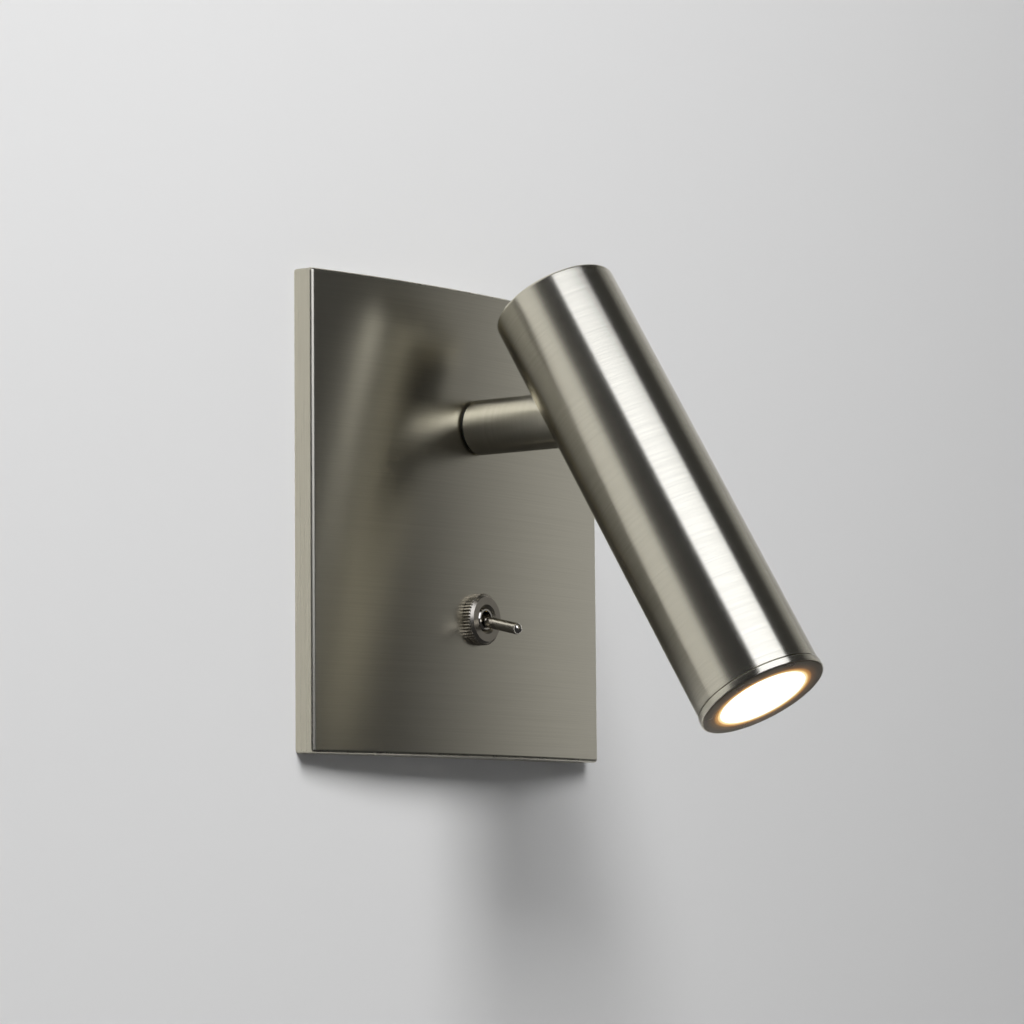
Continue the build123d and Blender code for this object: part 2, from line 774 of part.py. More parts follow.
tilt_lines = [Plane(pivot, x_dir=(0, 0, 1), z_dir=(side, 0, 0)) for side in (-1, 1)]
pivot_screws = group(
    [screw(line, pivot_screw_seat, 4.0, 10.4, pivot_screw_head, 2.0, 1.0) for line in tilt_lines]
)
friction_washers = group(
    [ring(line, eye_half_width + 0.05, arm_slot / 2 - 0.05, 12.0, 4.2) for line in tilt_lines]
)

block_grub_end = head_diameter / 2 - 0.2
block_grub_screw = grub_screw(
    grub_line_head, block_grub_end - grub_length, block_grub_end, grub_diameter, grub_key
)

sink_rear = 38.0
sink_base = 66.0
board_rear = 70.0
board_thickness = 1.6
board_screw_x = 11.0
lead_offset = 9.0
with BuildPart() as heat_sink:
    with BuildSketch(head_axis.offset(sink_rear)):
        Circle(6)
        with PolarLocations(0, 10, start_angle=72):
            with Locations((10, 0)):
                Rectangle(11.4, 1.4)
    extrude(amount=sink_base - sink_rear)
    with BuildSketch(head_axis.offset(sink_base)):
        Circle(head_bore / 2 - 0.05)
    extrude(amount=board_rear - sink_base)
    with BuildSketch(head_axis.offset(sink_base)):
        with Locations((0, lead_offset)):
            Circle(1.8)
        with Locations((-board_screw_x, 0), (board_screw_x, 0)):
            Circle(1.25)
    extrude(amount=board_rear - sink_base, mode=Mode.SUBTRACT)

board_front = board_rear + board_thickness
with BuildPart() as led_board:
    with BuildSketch(head_axis.offset(board_rear)):
        Circle(14)
        with Locations((0, lead_offset)):
            Circle(1.7, mode=Mode.SUBTRACT)
        with Locations((-board_screw_x, 0), (board_screw_x, 0)):
            Circle(1.3, mode=Mode.SUBTRACT)
    extrude(amount=board_thickness)

board_screw_lines = [
    Plane(head_axis.from_local_coords((x, 0, 0)), x_dir=(1, 0, 0), z_dir=head_direction)
    for x in (-board_screw_x, board_screw_x)
]
board_screws = group(
    [screw(line, board_front, 2.4, 5.0, 4.2, 1.3, 0.7) for line in board_screw_lines]
)

led_emitter = ring(head_axis, board_front, board_front + 1.2, 11.0)

lens_recess = 1.0
lens_diameter = 28.6
lens_thickness = 2.0
lens_front = head_front - lens_recess
lens_rear = lens_front - lens_thickness
gasket_rear = lens_rear - 1.1
reflector_start = board_front + 2.0
reflector_rim = gasket_rear - 1.2
with BuildPart() as reflector:
    with BuildSketch(Plane(pivot, x_dir=head_axis.y_dir, z_dir=(1, 0, 0))):
        with BuildLine():
            Polyline(
                (6.0, board_front),
                (6.8, board_front),
                (7.0, reflector_start),
                (13.0, reflector_rim),
                (lens_diameter / 2, reflector_rim),
                (lens_diameter / 2, gasket_rear),
                (12.6, gasket_rear),
                (6.2, reflector_start),
                close=True,
            )
        make_face()
    revolve(axis=Axis(pivot, head_direction))

lens_gasket = ring(head_axis, gasket_rear, lens_rear, lens_diameter, 25.4)
lens = ring(head_axis, lens_rear, lens_front, lens_diameter)

bezel_seam = 0.15
bezel_diameter = 35.8
skirt_length = 7.0
with BuildPart() as bezel_ring:
    with BuildSketch(head_axis.offset(shell_front + bezel_seam)):
        Circle(bezel_diameter / 2)
    extrude(amount=head_front - shell_front - bezel_seam)
    front_rim = bezel_ring.edges().filter_by(GeomType.CIRCLE).sort_by(Axis(pivot, head_direction))[-1]
    chamfer(front_rim, 0.4)
    # skirt that plugs into the shell, with the lens's seat inside
    with BuildSketch(head_axis.offset(shell_front - skirt_length)):
        Circle(head_bore / 2 - 0.05)
    extrude(amount=skirt_length + bezel_seam)
    with BuildSketch(head_axis.offset(shell_front - skirt_length)):
        Circle(lens_diameter / 2 + 0.1)
    extrude(amount=lens_front - shell_front + skirt_length, mode=Mode.SUBTRACT)
    with BuildSketch(head_axis.offset(shell_front)):
        Circle(lens_opening / 2)
    extrude(amount=bezel_height, mode=Mode.SUBTRACT)

lead_route = ((0, 0, 1.7), (0, 0, 21), (0, lead_offset, 31), (0, lead_offset, board_front - 0.6))
led_lead_head = lead([head_axis.from_local_coords(point) for point in lead_route], 12.0, lead_diameter)

pieces = {
    "front_plate": front_plate,
    "wall_bracket": wall_bracket,
    "plate_grub_screws": plate_grub_screws,
    "terminal_block": terminal_block,
    "terminal_barrels": terminal_barrels,
    "terminal_screws": terminal_screws,
    "block_screws": block_screws,
    "earth_washer": earth_washer,
    "earth_tag": earth_tag,
    "earth_screw": earth_screw,
    "driver_case": driver_case,
    "driver_lid": driver_lid,
    "driver_board": driver_board,
    "driver_transformer": driver_transformer,
    "driver_capacitor": driver_capacitor,
    "driver_screws": driver_screws,
    "dress_nut": dress_nut,
    "lock_washer": lock_washer,
    "switch_nut": switch_nut,
    "switch_bushing": switch_bushing,
    "switch_case": switch_case,
    "switch_terminals": switch_terminals,
    "switch_rocker": switch_rocker,
    "switch_lever": switch_lever,
    "lever_pin": lever_pin,
    "switch_plunger": switch_plunger,
    "live_lead": live_lead,
    "switched_lead": switched_lead,
    "neutral_lead": neutral_lead,
    "earth_lead": earth_lead,
    "led_lead_rear": led_lead_rear,
    "arm_washer": arm_washer,
    "slip_washer": slip_washer,
    "stop_washer": stop_washer,
    "spring_washer": spring_washer,
    "swivel_nut": swivel_nut,
    "arm_spigot": arm_spigot,
    "arm_tube": arm_tube,
    "arm_knuckle": arm_knuckle,
    "led_lead_arm": led_lead_arm,
    "head_shell": head_shell,
    "pivot_block": pivot_block,
    "pivot_screws": pivot_screws,
    "friction_washers": friction_washers,
    "block_grub_screw": block_grub_screw,
    "heat_sink": heat_sink,
    "led_board": led_board,
    "board_screws": board_screws,
    "led_emitter": led_emitter,
    "reflector": reflector,
    "lens_gasket": lens_gasket,
    "lens": lens,
    "bezel_ring": bezel_ring,
    "led_lead_head": led_lead_head,
}
os.makedirs("parts", exist_ok=True)
for name, piece in pieces.items():
    piece.part.label = name
    export_step(piece.part, f"parts/{name}.step")
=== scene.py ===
import json
import math

import bmesh
import bpy
from mathutils import Matrix, Vector


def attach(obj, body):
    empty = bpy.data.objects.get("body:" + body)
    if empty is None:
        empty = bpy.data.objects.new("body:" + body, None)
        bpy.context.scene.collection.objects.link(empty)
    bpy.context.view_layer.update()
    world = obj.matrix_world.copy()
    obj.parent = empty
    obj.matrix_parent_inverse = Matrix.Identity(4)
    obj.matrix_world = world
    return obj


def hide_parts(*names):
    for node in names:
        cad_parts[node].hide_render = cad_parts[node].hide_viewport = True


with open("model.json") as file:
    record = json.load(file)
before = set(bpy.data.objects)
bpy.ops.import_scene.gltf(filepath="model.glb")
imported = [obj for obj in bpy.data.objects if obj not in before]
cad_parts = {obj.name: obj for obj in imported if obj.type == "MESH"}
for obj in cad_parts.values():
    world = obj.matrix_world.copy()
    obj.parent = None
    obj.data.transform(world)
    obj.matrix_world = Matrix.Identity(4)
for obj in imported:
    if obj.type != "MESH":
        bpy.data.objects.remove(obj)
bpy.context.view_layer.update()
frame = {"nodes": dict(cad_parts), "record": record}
mm = 0.001
print("frame loaded:", len(frame["nodes"]), "nodes")

# camera
camera = {
    "place": (-858.4, -663.1, -100.4),  # mm, from the middle of the plate on the wall
    "yaw": 53.326,  # degrees to the right of straight at the wall
    "pitch": 5.492,  # degrees up
    "roll": -0.48,
    "lens": 136.58,  # mm
    "sensor": 36.0,  # mm
    "clip": (0.05, 50),  # m
}


def addCamera(c):
    yaw, pitch, roll = (math.radians(c[key]) for key in ("yaw", "pitch", "roll"))
    level = math.cos(pitch)
    forward = Vector((math.sin(yaw) * level, math.cos(yaw) * level, math.sin(pitch)))
    right = forward.cross(Vector((0, 0, 1))).normalized()
    up = right.cross(forward)
    turnedRight = math.cos(roll) * right + math.sin(roll) * up
    turnedUp = math.cos(roll) * up - math.sin(roll) * right
    data = bpy.data.cameras.new("viewCamera")
    data.lens = c["lens"]
    data.sensor_width = c["sensor"]
    data.clip_start, data.clip_end = c["clip"]
    obj = bpy.data.objects.new("viewCamera", data)
    bpy.context.collection.objects.link(obj)
    rotation = Matrix((turnedRight, turnedUp, -forward)).transposed().to_4x4()
    obj.matrix_world = Matrix.Translation(Vector(c["place"]) * mm) @ rotation
    bpy.context.scene.camera = obj


addCamera(camera)

# node and mesh helpers


def linear(hexColor):
    channels = [int(hexColor[i : i + 2], 16) / 255 for i in (1, 3, 5)]
    return (*[c / 12.92 if c <= 0.04045 else ((c + 0.055) / 1.055) ** 2.4 for c in channels], 1.0)


def addNode(tree, kind, values=None, links=None, **settings):
    node = tree.nodes.new(kind)
    for key, value in settings.items():
        setattr(node, key, value)
    for key, value in (values or {}).items():
        node.inputs[key].default_value = value
    for key, source in (links or {}).items():
        tree.links.new(source, node.inputs[key])
    return node


def newMaterial(name):
    material = bpy.data.materials.new(name)
    material.use_nodes = True
    material.node_tree.nodes.clear()
    return material, material.node_tree


def grainCoords(tree, size, place=None):
    # object coordinates counted in grains: size is one grain's length in mm along the frame's x, y and z
    place = place or Matrix.Identity(4)
    coords = addNode(tree, "ShaderNodeTexCoord")
    values = {
        "Location": place.to_translation(),
        "Rotation": place.to_euler(),
        "Scale": [length * mm for length in size],
    }
    links = {"Vector": coords.outputs["Object"]}
    return addNode(tree, "ShaderNodeMapping", values, links, vector_type="TEXTURE")


def axisDistance(tree, place):
    # how far a point is from place's z axis, in mm
    coords = grainCoords(tree, (1, 1, 1), place)
    flat = addNode(
        tree, "ShaderNodeVectorMath", {1: (1, 1, 0)}, {0: coords.outputs["Vector"]}, operation="MULTIPLY"
    )
    radius = addNode(tree, "ShaderNodeVectorMath", {}, {0: flat.outputs["Vector"]}, operation="LENGTH")
    return radius.outputs["Value"]


def addPiece(name, mesh, body, nodes=()):
    obj = bpy.data.objects.new(name, mesh)
    bpy.context.collection.objects.link(obj)
    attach(obj, body)
    if nodes:
        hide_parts(*nodes)


def meshFrom(bm, name):
    bmesh.ops.recalc_face_normals(bm, faces=bm.faces)
    mesh = bpy.data.meshes.new(name)
    bm.to_mesh(mesh)
    bm.free()
    return mesh


def evaluatedMesh(obj):
    return bpy.data.meshes.new_from_object(obj.evaluated_get(bpy.context.evaluated_depsgraph_get()))


def finishedMesh(mesh, materials, cutters=(), sharpAngle=35):
    # takes the cutters out of the mesh, keeps its corners crisp and weights its normals by face area
    obj = bpy.data.objects.new("work", mesh)
    bpy.context.collection.objects.link(obj)
    helpers = [obj]
    for cutter in cutters:
        helper = bpy.data.objects.new("cutter", cutter)
        bpy.context.collection.objects.link(helper)
        helpers.append(helper)
        cut = obj.modifiers.new("cut", "BOOLEAN")
        cut.operation = "DIFFERENCE"
        cut.solver = "EXACT"
        cut.object = helper
    result = evaluatedMesh(obj)
    result.shade_smooth()
    result.set_sharp_from_angle(angle=math.radians(sharpAngle))
    obj.modifiers.clear()
    obj.data = result
    weighted = obj.modifiers.new("weighted", "WEIGHTED_NORMAL")
    weighted.keep_sharp = True
    result = evaluatedMesh(obj)
    for helper in helpers:
        bpy.data.objects.remove(helper)
    result.materials.clear()
    for material in materials:
        result.materials.append(material)
    return result


def turned(name, place, profile, segments=192, closed=True):
    # a lathe-turned mesh: profile is (along, radius) in mm, place's z is the axis
    bm = bmesh.new()
    rings = []
    for along, radius in profile:
        count = segments if radius > 0 else 1
        angles = [2 * math.pi * i / count for i in range(count)]
        points = [Vector((radius * math.cos(a), radius * math.sin(a), along)) * mm for a in angles]
        rings.append([bm.verts.new(place @ point) for point in points])
    following = rings[1:] + rings[:1] if closed else rings[1:]
    for ring, after in zip(rings, following):
        for i in range(segments):
            j = (i + 1) % segments
            corners = [ring[i % len(ring)], ring[j % len(ring)]]
            corners += [after[j % len(after)], after[i % len(after)]]
            unique = list(dict.fromkeys(corners))
            if len(unique) > 2:
                bm.faces.new(unique)
    return meshFrom(bm, name)


def arc(along, radius, bend, start, end, steps=6):
    # points of a turned corner: centre, bend radius, and angles from straight out to along the axis
    angles = [math.radians(start + (end - start) * i / steps) for i in range(steps + 1)]
    return [(along + bend * math.sin(a), radius + bend * math.cos(a)) for a in angles]


def prism(outline, low, high, place=None):
    # an outline in mm, drawn in place's xy plane, between two heights along its z
    place = place or Matrix.Identity(4)
    bm = bmesh.new()
    ends = [[bm.verts.new(place @ (Vector((x, y, z)) * mm)) for x, y in outline] for z in (low, high)]
    bm.faces.new(ends[0])
    bm.faces.new(ends[1])
    for i in range(len(outline)):
        j = (i + 1) % len(outline)
        bm.faces.new((ends[0][i], ends[0][j], ends[1][j], ends[1][i]))
    return bm


def circleOutline(radius, centre=(0, 0), steps=64):
    angles = [2 * math.pi * i / steps for i in range(steps)]
    return [(centre[0] + radius * math.cos(a), centre[1] + radius * math.sin(a)) for a in angles]


def axisFrame(origin, direction, across=(1, 0, 0)):
    # a frame in metres whose z runs along the direction and whose x is the across direction
    z = Vector(direction).normalized()
    x = Vector(across)
    y = z.cross(x)
    rotation = Matrix((x, y, z)).transposed().to_4x4()
    return Matrix.Translation(Vector(origin) * mm) @ rotation


# shared places, in mm
places = {
    "armHeight": 26.8,
    "switchHeight": -26.8,
    "plateFront": 12.0,
    "pivotReach": 58.8,
    "headTilt": 59.2,  # degrees below straight out
    "leverPivot": 11.8,
    "leverAngle": 13.0,  # degrees below straight out
}
tilt = math.radians(places["headTilt"])
droop = math.radians(places["leverAngle"])
headPivot = (0, -places["pivotReach"], places["armHeight"])
leverPivot = (0, -places["leverPivot"], places["switchHeight"])
armFrame = axisFrame((0, 0, places["armHeight"]), (0, -1, 0))
switchFrame = axisFrame((0, 0, places["switchHeight"]), (0, -1, 0))
headFrame = axisFrame(headPivot, (0, -math.cos(tilt), -math.sin(tilt)))
leverFrame = axisFrame(leverPivot, (0, -math.cos(droop), -math.sin(droop)))
headDirection = headFrame.to_3x3() @ Vector((0, 0, 1))

# materials
noiseRange = {"From Min": 0.3, "From Max": 0.7}  # nearly all of a noise texture lies between these
twoNoiseRange = {"From Min": 0.7, "From Max": 1.3}  # and the sum of two between these
brushDepth = 0.02  # mm
grainDepth = 0.05  # mm


def satinNickel(name, place, brushing, tangent, look):
    # satin nickel, brushed and plated: warm grey metal whose brush lines draw reflections out across them
    material, tree = newMaterial(name)
    lines = addNode(
        tree,
        "ShaderNodeTexNoise",
        {"Scale": 1.0, "Detail": 3.0, "Roughness": 0.65},
        {"Vector": grainCoords(tree, brushing["line"], place).outputs["Vector"]},
    )
    patches = addNode(
        tree,
        "ShaderNodeTexNoise",
        {"Scale": 1.0, "Detail": 2.0, "Roughness": 0.5},
        {"Vector": grainCoords(tree, brushing["patch"], place).outputs["Vector"]},
    )
    color = addNode(
        tree,
        "ShaderNodeMix",
        {"A": linear(look["deep"]), "B": linear(look["color"])},
        data_type="RGBA",
    )
    shade = addNode(tree, "ShaderNodeMapRange", noiseRange, {"Value": lines.outputs["Fac"]})
    tree.links.new(shade.outputs["Result"], color.inputs["Factor"])
    both = addNode(
        tree,
        "ShaderNodeMath",
        {},
        {0: lines.outputs["Fac"], 1: patches.outputs["Fac"]},
        operation="ADD",
    )
    rough = addNode(
        tree,
        "ShaderNodeMapRange",
        {
            **twoNoiseRange,
            "To Min": look["rough"] - look["roughSpread"],
            "To Max": look["rough"] + look["roughSpread"],
        },
        {"Value": both.outputs["Value"]},
    )
    bump = addNode(
        tree,
        "ShaderNodeBump",
        {"Strength": look["bump"], "Distance": brushDepth * mm},
        {"Height": lines.outputs["Fac"]},
    )
    shader = addNode(
        tree,
        "ShaderNodeBsdfPrincipled",
        {"Metallic": 1.0, "Anisotropic": look["anisotropic"]},
        {
            "Base Color": color.outputs["Result"],
            "Roughness": rough.outputs["Result"],
            "Normal": bump.outputs["Normal"],
        },
    )
    if tangent:
        # the direction that the brushing blurs, fixed to the piece
        blur = addNode(tree, "ShaderNodeCombineXYZ", dict(zip("XYZ", tangent)))
        turn = addNode(
            tree,
            "ShaderNodeVectorTransform",
            {},
            {"Vector": blur.outputs["Vector"]},
            vector_type="VECTOR",
            convert_from="OBJECT",
            convert_to="WORLD",
        )
        tree.links.new(turn.outputs["Vector"], shader.inputs["Tangent"])
    addNode(tree, "ShaderNodeOutputMaterial", {}, {"Surface": shader.outputs["BSDF"]})
    return material


def plainFinish(name, look):
    # one moulded, plated, drawn or printed finish: its colour, gloss and grain come from its own values
    material, tree = newMaterial(name)
    grain = addNode(
        tree,
        "ShaderNodeTexNoise",
        {"Scale": 1.0, "Detail": 3.0, "Roughness": 0.6},
        {"Vector": grainCoords(tree, look["grain"]).outputs["Vector"]},
    )
    color = addNode(
        tree,
        "ShaderNodeMix",
        {"A": linear(look["deep"]), "B": linear(look["color"])},
        {"Factor": grain.outputs["Fac"]},
        data_type="RGBA",
    )
    rough = addNode(
        tree,
        "ShaderNodeMapRange",
        {
            **noiseRange,
            "To Min": look["rough"] - look["roughSpread"],
            "To Max": look["rough"] + look["roughSpread"],
        },
        {"Value": grain.outputs["Fac"]},
    )
    bump = addNode(
        tree,
        "ShaderNodeBump",
        {"Strength": look["bump"], "Distance": grainDepth * mm},
        {"Height": grain.outputs["Fac"]},
    )
    shader = addNode(
        tree,
        "ShaderNodeBsdfPrincipled",
        {"Metallic": look.get("metallic", 0.0)},
        {
            "Base Color": color.outputs["Result"],
            "Roughness": rough.outputs["Result"],
            "Normal": bump.outputs["Normal"],
        },
    )
    if "ior" in look:
        shader.inputs["IOR"].default_value = look["ior"]
    addNode(tree, "ShaderNodeOutputMaterial", {}, {"Surface": shader.outputs["BSDF"]})
    return material


def litLens(name, place, look):
    # frosted acrylic lit from behind: blown out over the middle, amber where it meets the bezel
    material, tree = newMaterial(name)
    edge = addNode(
        tree,
        "ShaderNodeMapRange",
        {"From Min": look["whiteRadius"], "From Max": look["rimRadius"]},
        {"Value": axisDistance(tree, place)},
        interpolation_type="SMOOTHSTEP",
    )
    color = addNode(
        tree,
        "ShaderNodeMix",
        {"A": linear(look["middle"]), "B": linear(look["rim"])},
        {"Factor": edge.outputs["Result"]},
        data_type="RGBA",
    )
    strength = addNode(
        tree,
        "ShaderNodeMapRange",
        {"From Min": 0.0, "From Max": 1.0, "To Min": look["middleStrength"], "To Max": look["rimStrength"]},
        {"Value": edge.outputs["Result"]},
    )
    shader = addNode(
        tree,
        "ShaderNodeBsdfPrincipled",
        {"Base Color": linear(look["body"]), "Roughness": look["rough"], "IOR": look["ior"]},
        {"Emission Color": color.outputs["Result"], "Emission Strength": strength.outputs["Result"]},
    )
    addNode(tree, "ShaderNodeOutputMaterial", {}, {"Surface": shader.outputs["BSDF"]})
    return material


def stripedWire(name, look):
    # earth wire insulation: green with a yellow stripe wound along it
    material, tree = newMaterial(name)
    coords = grainCoords(tree, look["stripe"])
    wave = addNode(
        tree,
        "ShaderNodeTexWave",
        {"Scale": look["stripeScale"], "Distortion": 0.0},
        {"Vector": coords.outputs["Vector"]},
        bands_direction="DIAGONAL",
    )
    sharp = addNode(
        tree,
        "ShaderNodeMapRange",
        {"From Min": look["stripeEdge"][0], "From Max": look["stripeEdge"][1]},
        {"Value": wave.outputs["Fac"]},
    )
    color = addNode(
        tree,
        "ShaderNodeMix",
        {"A": linear(look["green"]), "B": linear(look["yellow"])},
        {"Factor": sharp.outputs["Result"]},
        data_type="RGBA",
    )
    shader = addNode(
        tree,
        "ShaderNodeBsdfPrincipled",
        {"Roughness": look["rough"]},
        {"Base Color": color.outputs["Result"]},
    )
    addNode(tree, "ShaderNodeOutputMaterial", {}, {"Surface": shader.outputs["BSDF"]})
    return material


def paintedSpillGlow(tree, place, look):
    # painted light: an emission that paints the lamp's light spilled on the ring round the lens, near white
    # at its edge, then amber, then a faint painted warm brown
    along = addNode(
        tree,
        "ShaderNodeMapRange",
        {"From Min": look["from"], "From Max": look["to"]},
        {"Value": axisDistance(tree, place)},
    )
    ramp = addNode(tree, "ShaderNodeValToRGB", {}, {"Fac": along.outputs["Result"]})
    ramp.color_ramp.interpolation = "EASE"
    elements = ramp.color_ramp.elements
    while len(elements) < len(look["steps"]):
        elements.new(0.5)
    for element, (position, color) in zip(elements, look["steps"]):
        element.position = position
        element.color = linear(color)
    return ramp.outputs["Color"]


# Satin nickel: one look for the whole lamp, and what differs on each piece. The brush lines of the real
# lamp are about 0.1 mm apart, under half a pixel here, so they are drawn 0.3 mm apart.
satinLook = {
    "color": "#d9d4c3",
    "deep": "#d0cbba",
    "rough": 0.235,
    "roughSpread": 0.02,
    "bump": 0.025,
    "anisotropic": 0.78,
}
plateLook = {**satinLook, "rough": 0.28, "roughSpread": 0.004, "bump": 0.002, "anisotropic": 0.4}
tubeLook = {**satinLook, "color": "#dbd6c5", "deep": "#cec9b8", "roughSpread": 0.008, "bump": 0.015}
# painted shade: a darker copy of the satin nickel for the plate's sides, rounded edges and inside, also
# used for the other plain satin nickel parts
shadedEdgeLook = {
    "color": "#ccc7b6",
    "deep": "#c3bead",
    "rough": 0.28,
    "roughSpread": 0.02,
    "bump": 0.006,
    "anisotropic": 0.0,
}
paintedGlowLook = {
    "from": 12.3,  # mm from the middle of the lens
    "to": 16.3,
    "steps": ((0.0, "#fff6dc"), (0.13, "#ffdf9c"), (0.28, "#b9823c"), (0.55, "#4c3118"), (1.0, "#1c140c")),
}
endLook = {**satinLook, "anisotropic": 0.0, "rough": 0.28}
# painted shade: the same satin nickel made darker, so the nut's face stands dimmer than the plate round it
shadedNutLook = {**endLook, "color": "#bfb8aa", "deep": "#b2ab9d", "rough": 0.32}
# grain lengths in mm along each piece's own x, y and z
plateBrushing = {"line": (60, 60, 0.3), "patch": (60, 60, 14)}
edgeBrushing = {"line": (0.3, 0.3, 30), "patch": (9, 9, 60)}
tubeBrushing = {"line": (24, 24, 0.3), "patch": (40, 40, 9)}
nutBrushing = {"line": (6, 6, 0.3), "patch": (9, 9, 4)}

plateNickel = satinNickel("satinNickelPlate", None, plateBrushing, (0, 0, 1), plateLook)
shadedPlateEdgeNickel = satinNickel("satinNickelPlateEdgeShaded", None, edgeBrushing, None, shadedEdgeLook)
armNickel = satinNickel("satinNickelArm", armFrame, tubeBrushing, (0, -1, 0), tubeLook)
headNickel = satinNickel("satinNickelHead", headFrame, tubeBrushing, headDirection, tubeLook)
headEndNickel = satinNickel("satinNickelHeadEnd", headFrame, tubeBrushing, None, endLook)
# painted light: the bezel's front face glows with the lamp's spilled light, though it is no lamp
bezelPaintedGlowNickel = satinNickel("satinNickelBezelFacePaintedGlow", headFrame, tubeBrushing, None, endLook)
bezelTree = bezelPaintedGlowNickel.node_tree
bezelShader = next(node for node in bezelTree.nodes if node.type == "BSDF_PRINCIPLED")
bezelShader.inputs["Emission Strength"].default_value = 1.0
bezelTree.links.new(paintedSpillGlow(bezelTree, headFrame, paintedGlowLook), bezelShader.inputs["Emission Color"])
shadedNutNickel = satinNickel("satinNickelNutShaded", switchFrame, nutBrushing, None, shadedNutLook)

finishes = {
    # bright nickel plate over brass: a clear mirror with a little haze
    "polished_nickel": {
        "color": "#e2ddd2",
        "deep": "#d3cdc0",
        "metallic": 1.0,
        "rough": 0.12,
        "roughSpread": 0.03,
        "bump": 0.02,
        "grain": (2, 2, 2),
    },
    # zinc plated and passivated steel: pale blue-grey with cloudy patches
    "zinc_plated_steel": {
        "color": "#c9ccd0",
        "deep": "#a9adb4",
        "metallic": 1.0,
        "rough": 0.36,
        "roughSpread": 0.08,
        "bump": 0.06,
        "grain": (3, 3, 3),
    },
    # turned aluminium: light grey with fine tool marks
    "turned_aluminium": {
        "color": "#d9dadb",
        "deep": "#c2c4c6",
        "metallic": 1.0,
        "rough": 0.38,
        "roughSpread": 0.06,
        "bump": 0.12,
        "grain": (6, 0.4, 0.4),
    },
    # brass from the bar: yellow with darker handling marks
    "brass": {
        "color": "#d9b968",
        "deep": "#b99445",
        "metallic": 1.0,
        "rough": 0.30,
        "roughSpread": 0.08,
        "bump": 0.05,
        "grain": (1.5, 1.5, 1.5),
    },
    # hot-tinned copper: soft grey, slightly uneven
    "tinned_copper": {
        "color": "#d4d1c8",
        "deep": "#b3aea2",
        "metallic": 1.0,
        "rough": 0.42,
        "roughSpread": 0.08,
        "bump": 0.2,
        "grain": (0.8, 0.8, 0.8),
    },
    # natural nylon: milky and slightly waxy
    "natural_nylon": {
        "color": "#ece8da",
        "deep": "#e0dbca",
        "rough": 0.48,
        "roughSpread": 0.06,
        "bump": 0.08,
        "grain": (0.5, 0.5, 0.5),
        "ior": 1.53,
    },
    # black nylon: fine moulded texture
    "black_nylon": {
        "color": "#1b1b1c",
        "deep": "#121213",
        "rough": 0.5,
        "roughSpread": 0.08,
        "bump": 0.15,
        "grain": (0.3, 0.3, 0.3),
        "ior": 1.53,
    },
    # white polycarbonate: spark-eroded mould texture
    "white_moulding": {
        "color": "#eeeeea",
        "deep": "#e4e4de",
        "rough": 0.5,
        "roughSpread": 0.06,
        "bump": 0.2,
        "grain": (0.35, 0.35, 0.35),
        "ior": 1.58,
    },
    # green solder mask over glass-epoxy: dark, even and half glossy
    "circuit_board": {
        "color": "#2f7a45",
        "deep": "#1f5c32",
        "rough": 0.32,
        "roughSpread": 0.06,
        "bump": 0.05,
        "grain": (1.2, 1.2, 1.2),
        "ior": 1.55,
    },
    # sleeved and potted components: dark and smooth
    "board_parts": {
        "color": "#2c2c30",
        "deep": "#1d1d20",
        "rough": 0.3,
        "roughSpread": 0.05,
        "bump": 0.05,
        "grain": (1, 1, 1),
        "ior": 1.5,
    },
    # white solder mask on an aluminium board: bright and half glossy
    "white_board": {
        "color": "#f1f1ee",
        "deep": "#e6e6e2",
        "rough": 0.38,
        "roughSpread": 0.05,
        "bump": 0.05,
        "grain": (0.8, 0.8, 0.8),
        "ior": 1.55,
    },
    # silicone filled with phosphor: yellow and grainy
    "led_phosphor": {
        "color": "#f2cf57",
        "deep": "#e0b63c",
        "rough": 0.45,
        "roughSpread": 0.05,
        "bump": 0.2,
        "grain": (0.25, 0.25, 0.25),
        "ior": 1.42,
    },
    # vacuum-metallised plastic: a bright, almost clear mirror
    "reflector_coating": {
        "color": "#eceeef",
        "deep": "#e2e5e7",
        "metallic": 1.0,
        "rough": 0.14,
        "roughSpread": 0.04,
        "bump": 0.03,
        "grain": (1, 1, 1),
    },
    # black silicone: soft and dull
    "gasket_rubber": {
        "color": "#1c1c1c",
        "deep": "#131313",
        "rough": 0.7,
        "roughSpread": 0.08,
        "bump": 0.2,
        "grain": (0.4, 0.4, 0.4),
        "ior": 1.41,
    },
    # drawn PVC insulation: satin
    "brown_wire": {
        "color": "#6a4128",
        "deep": "#573320",
        "rough": 0.42,
        "roughSpread": 0.05,
        "bump": 0.06,
        "grain": (0.5, 0.5, 0.5),
        "ior": 1.53,
    },
    # the same insulation in blue
    "blue_wire": {
        "color": "#2f66b5",
        "deep": "#24549b",
        "rough": 0.42,
        "roughSpread": 0.05,
        "bump": 0.06,
        "grain": (0.5, 0.5, 0.5),
        "ior": 1.53,
    },
    # the LED lead's outer sheath: softer white PVC
    "lead_sheath": {
        "color": "#e9e8e3",
        "deep": "#dcdbd4",
        "rough": 0.46,
        "roughSpread": 0.05,
        "bump": 0.08,
        "grain": (0.6, 0.6, 0.6),
        "ior": 1.53,
    },
}
earthLook = {
    "green": "#2e8b3d",
    "yellow": "#e3cb2f",
    "rough": 0.42,
    "stripe": (1.2, 1.2, 1.2),
    "stripeScale": 0.16,
    "stripeEdge": (0.55, 0.62),
}
lensLook = {
    "middle": "#fffaf0",
    "rim": "#ffe0ae",
    "middleStrength": 3.0,
    "rimStrength": 1.7,
    "whiteRadius": 11.4,
    "rimRadius": 13.2,
    "body": "#f3efe6",
    "rough": 0.45,
    "ior": 1.49,
}

